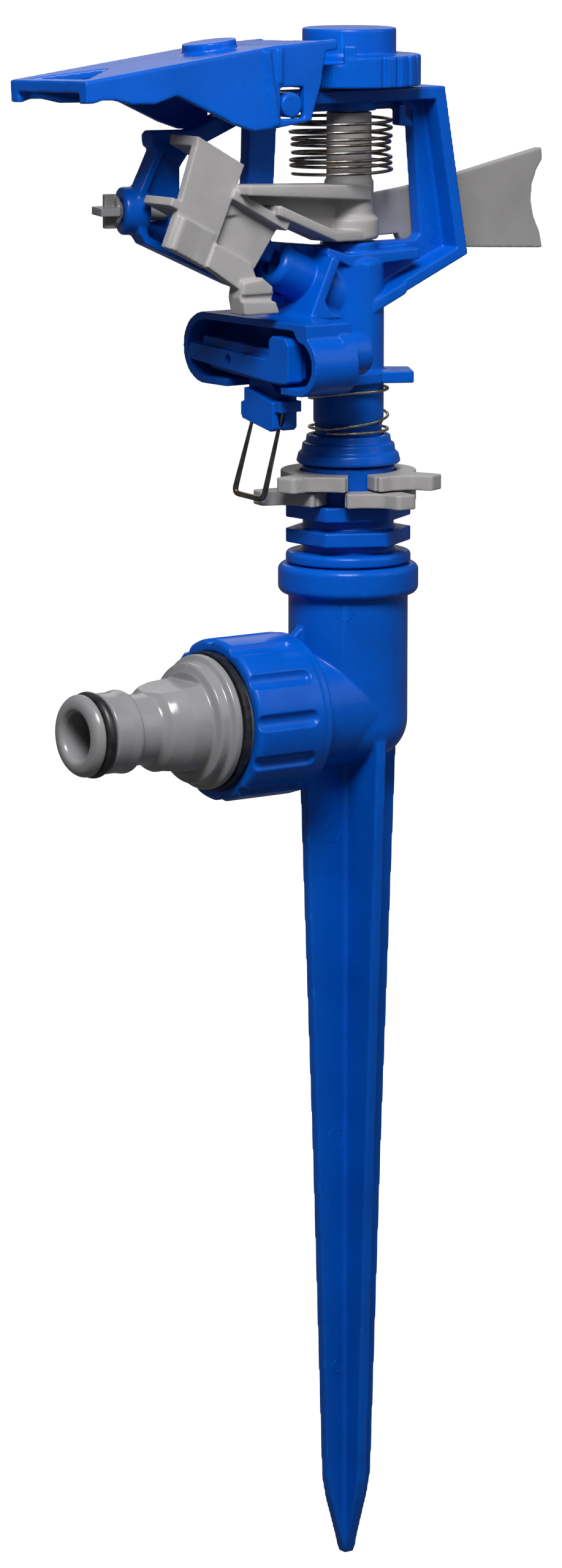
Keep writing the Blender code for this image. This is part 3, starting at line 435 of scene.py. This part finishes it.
# ---- stake, sleeve and inlet ---------------------------------------------------------
def stake():
    half = [(10.9, 6.0), (10.9, 0.0), (7.6, -79.0), (5.3, -143.8), (4.5, -148.0), (1.1, -159.6)]
    outline = filleted(half + [(-x, z) for x, z in reversed(half)], 0.8, 2)
    blades = [prism("blade", outline, -1.1, 1.1, plane) for plane in ("XZ", "YZ")]
    core = turned("core", [(0.0, -150.0), (1.5, -150.0), (2.0, 0.0), (0.0, 0.0)], 24)
    profile = filleted([(8.2, 5.5), (8.2, 4.2), (6.0, 1.6)] + arc((3.5, 8.0), 8.0, -60, 0, 12) +
                       [(11.5, 32.3), (12.8, 32.5), (13.5, 33.4), (13.5, 37.4), (12.8, 38.2), (10.1, 38.2),
                        (10.1, 24.0), (8.2, 24.0)], 0.4, 3)
    socket = turned("socket", profile, 128)
    branch = turned("branch", filleted([(6.05, 0.0), (11.45, 0.0), (11.45, 13.7), (11.0, 14.1),
                                        (6.05, 14.1)], 0.3, 2), 96, along_inlet())
    gusset = prism("gusset", filleted([(-10.5, 20.0), (-14.1, 20.0), (-14.1, 24.6), (-10.5, 27.6)], 0.4),
                   -1.0, 1.0)
    obj = moulded("stake_shell", [copy_of("ground_stake"), *blades, core, socket, branch, gusset],
                  0.32, 3, 0.22)
    placed(obj, BLUE, "stake", "ground_stake")
    marks = []
    for x, z, size in ((-4.6, -14.0, 1.9), (-3.6, -75.0, 1.9), (-2.9, -121.0, 1.3)):
        on_blade = Matrix.Translation((x, -1.1, z)) @ Matrix.Rotation(math.radians(90), 4, 'X')
        marks.append(mark(size, on_blade))
    on_socket = (Matrix.Rotation(math.radians(-40), 4, 'Z') @ Matrix.Translation((0, -11.5, 30.0))
                 @ Matrix.Rotation(math.radians(90), 4, 'X'))
    marks.append(mark(1.6, on_socket))
    marks_on("ejector_marks", marks, "stake")


def sleeve():
    profile = filleted([(5.3, 26.0), (9.8, 26.0), (9.8, 38.5), (12.0, 38.5), (12.0, 40.2), (11.5, 40.65),
                        (8.75, 40.65), (8.75, 50.3), (8.9, 50.6), (8.9, 57.2), (5.3, 57.2)], 0.25, 2)
    parts = [turned("sleeve", profile, 96)]
    for low, high in ((42.3, 45.1), (47.2, 50.0)):
        corners = [(HEX_R * math.cos(math.radians(HEX_TURN + 60 * k)),
                    HEX_R * math.sin(math.radians(HEX_TURN + 60 * k))) for k in range(6)]
        hexagon = prism("hexagon", filleted(corners, 0.5, 2), low, high, "XY")
        crown = turned("crown", [(7.5, low - 1), (11.6, low - 1), (12.9, low + 0.5), (12.9, high - 0.5),
                                 (11.6, high + 1), (7.5, high + 1)], 96)
        parts.append(combined(hexagon, crown, 'INTERSECT'))
    obj = moulded("sleeve_shell", parts, 0.25, 2, 0.4)
    placed(obj, BLUE, "stake", "bearing_sleeve")


def nut():
    profile = filleted([(9.0, 14.4), (14.5, 14.4), (15.4, 14.9), (15.4, 16.4), (15.6, 16.8), (15.6, 31.2),
                        (15.0, 31.9), (13.35, 31.9), (12.3, 30.9), (12.3, 17.4), (9.0, 17.4)], 0.35, 3)
    obj = turned("nut", profile, 160, along_inlet())
    grooves = []
    for index in range(NUT_FLUTES):
        angle = math.radians(NUT_FLUTE_PHASE + 360.0 * index / NUT_FLUTES)
        place = along_inlet() @ Matrix.Rotation(angle, 4, 'Z') @ Matrix.Translation((16.4, 0.0, 0.0))
        grooves.append(turned("groove", [(0.0, 18.0), (1.0, 18.25), (1.6, 18.9), (1.8, 19.7), (1.8, 33.0),
                                         (0.0, 33.0)], 24, place))
    cut(obj, merged("grooves", grooves))
    obj = moulded("nut_shell", [obj], 0.2, 2, 0.3)
    placed(obj, BLUE, "inlet", "inlet_nut")


def adapter():
    profile = filleted([(4.5, 22.0), (11.9, 22.0), (11.9, 33.9), (12.9, 33.9), (12.9, 35.4), (11.6, 35.9),
                        (11.6, 37.9), (9.7, 38.4), (9.7, 42.6), (9.4, 43.6), (8.9, 45.1), (8.2, 46.6),
                        (7.1, 47.6), (6.75, 48.1), (6.75, 52.8), (7.7, 52.8), (8.0, 53.5), (7.65, 55.4),
                        (7.65, 58.7), (5.8, 58.7), (5.8, 61.5), (7.85, 61.5), (7.8, 62.4), (7.1, 63.3),
                        (6.2, 63.6), (5.1, 63.6), (4.5, 62.8)], 0.4, 3)
    obj = turned("adapter", profile, 128, along_inlet())
    top_flat = prism("flat", [(-38.45, INLET_Z + 8.2), (-49.5, INLET_Z + 6.8), (-49.5, INLET_Z + 12.0),
                              (-38.45, INLET_Z + 12.0)], -12.0, 12.0)
    low_flat = box("flat", (-46.0, -38.45), (-12.0, 12.0), (INLET_Z - 11.0, INLET_Z - 7.9))
    cut(obj, top_flat, low_flat)
    obj = moulded("adapter_shell", [obj], 0.2, 1, 0.35)
    placed(obj, GLOSS_GREY, "inlet", "hose_adapter")


def o_ring():
    mean_r, section_r, mid = 7.15, 1.05, 60.1
    steps = 20
    profile = [(mean_r + section_r * math.cos(math.tau * k / steps),
                mid + section_r * math.sin(math.tau * k / steps)) for k in range(steps)]
    obj = smooth(turned("o_ring_shell", profile, 96, along_inlet()), 60)
    placed(obj, RUBBER, "inlet", "nipple_o_ring")


# ---- trip collars --------------------------------------------------------------------
def collar(which):
    """Split friction ring with a stop finger beside each end of its gap."""
    low, high = COLLAR_HEIGHTS[which]
    half_gap = 11.5
    outline = arc((0, 0), 13.0, half_gap, 360 - half_gap, 110)
    outline += arc((0, 0), 9.2, 360 - half_gap, half_gap, 100)
    spin = Matrix.Rotation(math.radians(COLLAR_TURNS[which]), 4, 'Z')
    parts = [prism("ring", outline, low, high, "XY", spin)]
    wide = 2.2
    for side in (1, -1):
        tip = math.radians(side * 50.0)
        square = math.radians(side * 140.0)

        def corner(radius, offset):
            return (radius * math.cos(tip) + offset * math.cos(square),
                    radius * math.sin(tip) + offset * math.sin(square))

        start = math.radians(side * (half_gap + 1.5))
        bend = math.radians(side * (half_gap + 15.0))
        points = [(10.5 * math.cos(start), 10.5 * math.sin(start)),
                  (14.7 * math.cos(start), 14.7 * math.sin(start)),
                  (13.9 * math.cos(bend), 13.9 * math.sin(bend)),
                  corner(15.2, -wide - 0.5), corner(19.3, -wide), corner(19.3, wide),
                  corner(12.0, wide + 0.4), corner(10.5, wide - 1.0)]
        parts.append(prism("finger", filleted(points, 0.9, 4), low, high, "XY", spin))
    obj = moulded(which + "_collar_shell", parts, 0.2, 3, 0.35)
    placed(obj, GREY, which + "_collar", which + "_trip_collar")


# ---- head ----------------------------------------------------------------------------
def trip_rim():
    """Wall around the trip housing's mouth, open at the throat below."""
    low_y, high_y = TRIP_Y
    low_z, high_z = TRIP_Z
    mid_z = (low_z + high_z) / 2
    radius = (high_z - low_z) / 2
    step_y = low_y + TRIP_NEAR_R + 1.6

    def loop(inset):
        right = arc((high_y - radius, mid_z), radius - inset, -90, 90, 28)
        left = arc((low_y + TRIP_NEAR_R, low_z + TRIP_NEAR_R), TRIP_NEAR_R - inset, 90, 270, 28)
        bottom = low_z + inset
        return [(TRIP_THROAT[1], bottom)] + right + [(step_y, high_z - inset)] + left + [
            (TRIP_THROAT[0], bottom)]

    return prism("rim", loop(0.0) + loop(TRIP_WALL)[::-1], *TRIP_X, "YZ")


def head():
    barrel = turned("barrel", filleted([(5.6, 58.4), (6.4, 58.4), (6.4, 65.2), (6.75, 65.5), (6.75, 96.0),
                                        (5.5, 97.6), (5.5, 99.9), (4.6, 99.9), (4.6, 90.0),
                                        (5.6, 84.0)], 0.3, 2))
    nozzle = turned("nozzle", filleted([(3.5, 10.8), (4.5, 10.8), (4.5, 19.3), (3.8, 20.3), (2.6, 20.3),
                                        (2.6, 19.1), (3.5, 19.1)], 0.4, 3), 72, along_jet())
    shoulder = turned("shoulder", [(3.6, 4.0), (5.2, 4.0), (5.2, 11.4), (3.6, 11.4)], 72, along_jet())
    rim = trip_rim()
    lip = prism("lip", filleted([(-10.0, 85.3), (-10.0, 86.6), (-18.6, 86.6), (-18.6, 83.8), (-15.8, 83.7),
                                 (-14.3, 85.3)], 0.2), *TRIP_X, "YZ")
    foot = prism("foot", [(-13.0, 86.0), (-11.2, 90.2), (-10.4, 88.6), (-9.2, 87.3), (-7.2, 86.6),
                          (-6.6, 86.0)], -7.4, -5.8)
    boss = turned("boss", filleted([(0.0, -15.5), (4.3, -15.5), (4.3, -9.6), (3.2, -8.6),
                                    (0.0, -8.6)], 0.8, 3, False), 48,
                  Matrix.Translation((0.0, -16.5, 80.6)) @ Matrix.Rotation(math.radians(90.0), 4, 'Y'))
    bar = turned("bar", filleted([(0.0, -12.4), (2.35, -12.4), (2.35, 12.4), (0.0, 12.4)], 0.4, 3, False), 48,
                 Matrix.Translation(HINGE) @ Matrix.Rotation(math.radians(90), 4, 'X'))
    screw_boss = turned("screw_boss", filleted([(2.3, -0.6), (4.5, -0.6), (4.5, 4.3), (2.3, 4.3)], 0.8, 4),
                        64, screw_frame())
    tip = prism("tip", filleted([(0.8, 86.4), (9.0, 90.0), (9.0, 92.4), (1.2, 89.0)], 0.9), -6.9, -3.0)
    parts = [copy_of("head_body"), barrel, nozzle, shoulder, rim, lip, foot, boss, bar, screw_boss, tip]
    obj = moulded("head_shell", parts, 0.25, 3, 0.25)
    placed(obj, BLUE, "head", "head_body")
    marks = []
    for x, z, size in ((19.3, 100.2, 1.45), (15.3, 125.5, 1.0)):
        on_web = Matrix.Translation((x, -1.45, z)) @ Matrix.Rotation(math.radians(90), 4, 'X')
        marks.append(mark(size, on_web))
    marks_on("head_marks", marks, "head")


def cap():
    profile = filleted([(6.8, 57.6), (9.6, 57.5), (10.0, 57.9), (9.6, 59.5), (9.0, 59.9), (8.8, 61.4),
                        (8.2, 61.6), (8.0, 63.0), (6.8, 63.1)], 0.3, 3)
    placed(smooth(turned("dust_cap_shell", profile, 112)), BLUE, "head", "dust_cap")


# ---- arm -----------------------------------------------------------------------------
def arm():
    hub = turned("hub", filleted([(2.0, 100.3), (5.3, 100.3), (5.7, 100.8), (5.7, 104.2), (4.7, 105.0),
                                  (4.7, 111.4), (4.3, 111.8), (4.3, 124.4), (2.0, 124.4)], 0.3, 2), 80)
    thick_end = filleted([(40.2, -6.6), (40.2, -8.3), (44.0, -8.7), (49.6, -9.6), (50.0, -6.6)], 1.2, 6)
    bulge = prism("bulge", thick_end, -6.7, -0.2, "XY", spoon_frame())
    tier = prism("tier", filleted([(-32.1, 90.9), (-31.6, 88.2), (-23.6, 88.2), (-24.5, 90.5)], 0.3),
                 -10.3, -9.0)
    crest = prism("crest", filleted([(-31.6, 94.3), (-31.9, 91.9), (-25.0, 91.9), (-24.9, 93.2),
                                     (-27.0, 94.8)], 0.3), -9.9, -9.0)
    obj = moulded("arm_shell", [copy_of("impact_arm"), hub, bulge, tier, crest], 0.2, 9, 0.2)
    placed(obj, GREY, "arm", "impact_arm")
    upper = [(0.6, 107.8), (0.6, 110.8), (-32.6, 112.4), (-32.6, 110.5)]
    lower = [(-0.9, 100.3), (-9.0, 100.5), (-24.6, 106.2), (-24.6, 108.3), (-9.0, 102.5), (-0.9, 102.3)]
    for name, outline in (("upper_rail", upper), ("lower_rail", lower)):
        rail = prism(name, outline, -5.4, 1.9, matrix=Matrix.Rotation(math.radians(ARM_TURN), 4, 'Z'))
        bevel = rail.modifiers.new("round", 'BEVEL')
        bevel.width = 0.35 * MM
        bevel.segments = 3
        bevel.limit_method = 'ANGLE'
        placed(smooth(baked(rail), 60), GREY, "arm")


def helix(radius, low, high, turns, start, per_turn, closed=0.0):
    """Coil from low to high; the first and last closed turns rise by little more than the wire."""
    count = int(turns * per_turn)
    dead = 0.75
    points = []
    for step in range(count + 1):
        turn = turns * step / count
        angle = math.radians(start) + math.tau * turn
        if closed == 0.0:
            rise = (high - low) * turn / turns
        elif turn < closed:
            rise = dead * turn / closed
        elif turn > turns - closed:
            rise = high - low - dead * (turns - turn) / closed
        else:
            rise = dead + (high - low - 2 * dead) * (turn - closed) / (turns - 2 * closed)
        points.append((radius * math.cos(angle), radius * math.sin(angle), low + rise))
    return points


def springs():
    """The arm spring's turns wander a little; the friction spring is even with closed ends."""
    coil = []
    for step, (x, y, z) in enumerate(helix(9.4, 112.8, 123.4, 8.0, 150.0, 40)):
        uneven = 1.0 + 0.02 * math.sin(step * 0.031) + 0.012 * math.sin(step * 0.087)
        coil.append((x * uneven - 1.5, y * uneven + 0.5, z + 0.18 * math.sin(step * 0.05)))
    placed(smooth(wire("arm_spring_wire", coil, 0.32, 10), 60), DARK_STEEL, "head", "arm_spring")
    coil = helix(7.5, 63.75, 72.35, 3.1, 200.0, 48, 1.0)
    placed(smooth(wire("friction_spring_wire", coil, 0.3, 10), 60), STEEL, "head", "friction_spring")


# ---- jet breaker, wheel, flap ----------------------------------------------------------
def screw():
    profile = filleted([(0.0, -5.2), (1.3, -5.2), (1.85, -4.4), (1.85, 4.6), (2.9, 4.6), (2.9, 5.5),
                        (0.0, 5.5)], 0.3, 2, False)
    parts = [turned("shank", profile, 48, screw_frame())]
    for turn, end in ((0.0, 7.4), (90.0, 8.8)):
        parts.append(box("wing", (-3.2, 3.2), (-0.75, 0.75), (5.0, end),
                         screw_frame() @ Matrix.Rotation(math.radians(turn), 4, 'Z')))
    obj = moulded("screw_shell", parts, 0.16, 3, 0.5)
    placed(obj, GLOSS_GREY, "jet_breaker", "jet_breaker_screw")


def wheel():
    """Range wheel, ribbed except on its stepped side."""
    profile = filleted([(3.3, 129.4), (WHEEL_R, 129.4), (WHEEL_R, 135.3), (CAP_R, 135.3), (CAP_R, 140.3),
                        (0.0, 140.3), (0.0, 135.2), (3.3, 135.2)], 0.45, 3)
    solid = turned("wheel", profile, 144)
    grooves = []
    for index in range(WHEEL_RIBS):
        angle = 360.0 * index / WHEEL_RIBS
        if not SMOOTH_SIDE[0] < angle < SMOOTH_SIDE[1]:
            grooves.append(box("groove", (WHEEL_R - 0.7, WHEEL_R + 1.0), (-0.55, 0.55), (128.4, 136.3),
                               Matrix.Rotation(math.radians(angle), 4, 'Z')))
    step_outline = arc((0, 0), WHEEL_R + 2.0, 151, 231, 20) + arc((0, 0), CAP_R + 0.3, 231, 151, 20)
    step = prism("step", step_outline, 133.9, 136.3, "XY")
    cut(solid, merged("grooves", grooves), step)
    tab = box("tab", (WHEEL_R - 2.2, WHEEL_R - 0.1), (-1.2, 1.2), (134.3, 137.4),
              Matrix.Rotation(math.radians(234.0), 4, 'Z'))
    obj = moulded("wheel_shell", [solid, tab], 0.24, 2, 0.35)
    placed(obj, BLUE, "wheel", "range_wheel")


def flap():
    lean = (Matrix.Translation(HINGE) @ Matrix.Rotation(math.radians(FLAP_LEAN), 4, 'X')
            @ Matrix.Translation((-HINGE[0], 0.0, -HINGE[2])))
    on_top = lean @ Matrix.Translation((-32.0, 0.0, 136.3)) @ Matrix.Rotation(math.radians(-6.8), 4, 'Y')
    stud = turned("stud", filleted([(0.0, -1.0), (5.1, -1.0), (5.1, 2.3), (0.0, 2.3)], 0.4, 3, False), 72,
                  on_top)
    ribs = []
    for side in (-1, 1):
        low, high = sorted((side * 12.3, side * 12.95))
        ribs.append(prism("rib", [(-28.8, 136.6), (-27.4, 136.7), (-25.6, 123.0), (-27.0, 122.8)], low, high,
                          matrix=lean))
        ribs.append(prism("rib", [(-25.6, 136.9), (-24.6, 137.0), (-24.6, 130.6), (-25.6, 130.6)], low, high,
                          matrix=lean))
    obj = moulded("flap_shell", [copy_of("deflector_flap"), stud, *ribs], 0.28, 3, 0.3)
    placed(obj, BLUE, "flap", "deflector_flap")


# ---- trip mechanism ------------------------------------------------------------------
def trip():
    lever = moulded("lever_shell", [copy_of("trip_lever")], 0.15, 3, 0.35)
    cut(lever, turned("pin_hole", [(0.0, -26.0), (0.95, -26.0), (0.95, -22.2), (0.0, -22.2)], 24,
                      Matrix.Translation((0.0, *LEVER_PIVOT)) @ Matrix.Rotation(math.radians(90.0), 4, 'Y')))
    placed(lever, BLUE, "lever", "trip_lever")
    dog = moulded("dog_shell", [copy_of("trip_dog")], 0.15, 2, 0.4)
    placed(dog, BLUE, "dog", "trip_dog")
    tops = [(WIRE_X, 2.6, 68.3), (WIRE_X, -6.7, 69.8)]
    feet = [(WIRE_X, 9.2, 52.2), (WIRE_X, -0.3, 51.8)]
    corners = [Vector(tops[0]), Vector(feet[0]), Vector(feet[1]), Vector(tops[1])]
    path = [corners[0]]
    for before, corner, after in zip(corners, corners[1:], corners[2:]):
        start = corner + (before - corner).normalized() * WIRE_BEND
        end = corner + (after - corner).normalized() * WIRE_BEND
        for step in range(9):
            share = step / 8
            path.append(start.lerp(corner, share).lerp(corner.lerp(end, share), share))
    path.append(corners[-1])
    placed(smooth(wire("trip_wire_loop", path, 0.55, 16), 60), DARK_STEEL, "dog", "trip_wire")


stake()
sleeve()
nut()
adapter()
o_ring()
collar("lower")
collar("upper")
head()
cap()
arm()
springs()
screw()
wheel()
flap()
trip()

# CAD nodes that are shown as they are, with a finer material
CARRIED = {"swivel_tailpiece": BLUE, "main_nozzle": BLUE, "bearing_tube": GREY, "socket_washer": RUBBER,
           "tail_washer": RUBBER, "inlet_washer": RUBBER, "bearing_seal": RUBBER,
           "bearing_wear_washer": RUBBER, "bearing_slip_washer": WHITE, "arm_pivot_pin": STEEL,
           "lever_pin": STEEL, "dog_pin": STEEL, "trip_spring": STEEL}
for node_name, paint in CARRIED.items():
    for slot in NODES[node_name].material_slots:
        slot.material = paint


# ---- floor, light, camera ------------------------------------------------------------
def studio():
    floor_z = -0.1602
    bm = bmesh.new()
    bmesh.ops.create_grid(bm, x_segments=8, y_segments=8, size=40.0)
    for vert in bm.verts:
        vert.co.z = floor_z
    mesh = bpy.data.meshes.new("floor")
    bm.to_mesh(mesh)
    bm.free()
    floor = bpy.data.objects.new("floor", mesh)
    bpy.context.scene.collection.objects.link(floor)
    n = Nodes("pale_floor")
    n.link(n.ramp(n.noise(3.0).outputs["Fac"], [(0.3, (0.86, 0.86, 0.86)), (0.7, (0.9, 0.9, 0.9))])
           .outputs["Color"], n.shader.inputs["Base Color"])
    n.shader.inputs["Roughness"].default_value = 0.9
    n.shader.inputs["Specular IOR Level"].default_value = 0.1
    n.shader.inputs["Emission Color"].default_value = (1.0, 1.0, 1.0, 1.0)
    n.shader.inputs["Emission Strength"].default_value = 0.95
    floor.data.materials.append(n.material)
    floor.visible_diffuse = False
    floor.visible_glossy = False

    world = bpy.data.worlds.new("studio")
    bpy.context.scene.world = world
    world.use_nodes = True
    background = world.node_tree.nodes["Background"]
    background.inputs["Color"].default_value = (1.0, 1.0, 1.0, 1.0)
    background.inputs["Strength"].default_value = 0.12

    aim = Vector((-0.01, 0.0, 0.07))
    lamps = (("key", (-0.27, -0.33, 0.50), 0.22, 4.9),
             ("fill", (0.40, -0.60, 0.42), 0.5, 0.8),
             ("rim", (0.50, 0.80, 0.55), 0.5, 0.8))
    for name, place, size, power in lamps:
        light = bpy.data.lights.new(name, 'AREA')
        light.size = size
        light.energy = power
        lamp = bpy.data.objects.new(name, light)
        bpy.context.scene.collection.objects.link(lamp)
        lamp.location = place
        lamp.rotation_euler = (aim - Vector(place)).to_track_quat('-Z', 'Y').to_euler()
        lamp.visible_camera = False


def camera_axes():
    azimuth, pitch = math.radians(CAMERA_AZIMUTH), math.radians(CAMERA_PITCH)
    back = Vector((math.sin(azimuth) * math.cos(pitch), -math.cos(azimuth) * math.cos(pitch),
                   math.sin(pitch)))
    right = Vector((math.cos(azimuth), math.sin(azimuth), 0.0))
    up = Vector((-math.sin(azimuth) * math.sin(pitch), math.cos(azimuth) * math.sin(pitch), math.cos(pitch)))
    return back, right, up


def camera():
    back, right, up = camera_axes()
    data = bpy.data.cameras.new("camera")
    data.sensor_fit = 'VERTICAL'
    data.sensor_height = 36.0
    data.lens = CAMERA_LENS
    data.clip_start = 0.01
    data.clip_end = 200.0
    obj = bpy.data.objects.new("camera", data)
    bpy.context.scene.collection.objects.link(obj)
    target = Vector((0.0, 0.0, CAMERA_HEIGHT)) - right * CAMERA_SHIFT
    place = target + back * CAMERA_DISTANCE
    obj.matrix_world = Matrix(((right.x, up.x, back.x, place.x), (right.y, up.y, back.y, place.y),
                               (right.z, up.z, back.z, place.z), (0.0, 0.0, 0.0, 1.0)))
    bpy.context.scene.camera = obj
    bpy.context.scene.view_settings.view_transform = 'Standard'


studio()
camera()
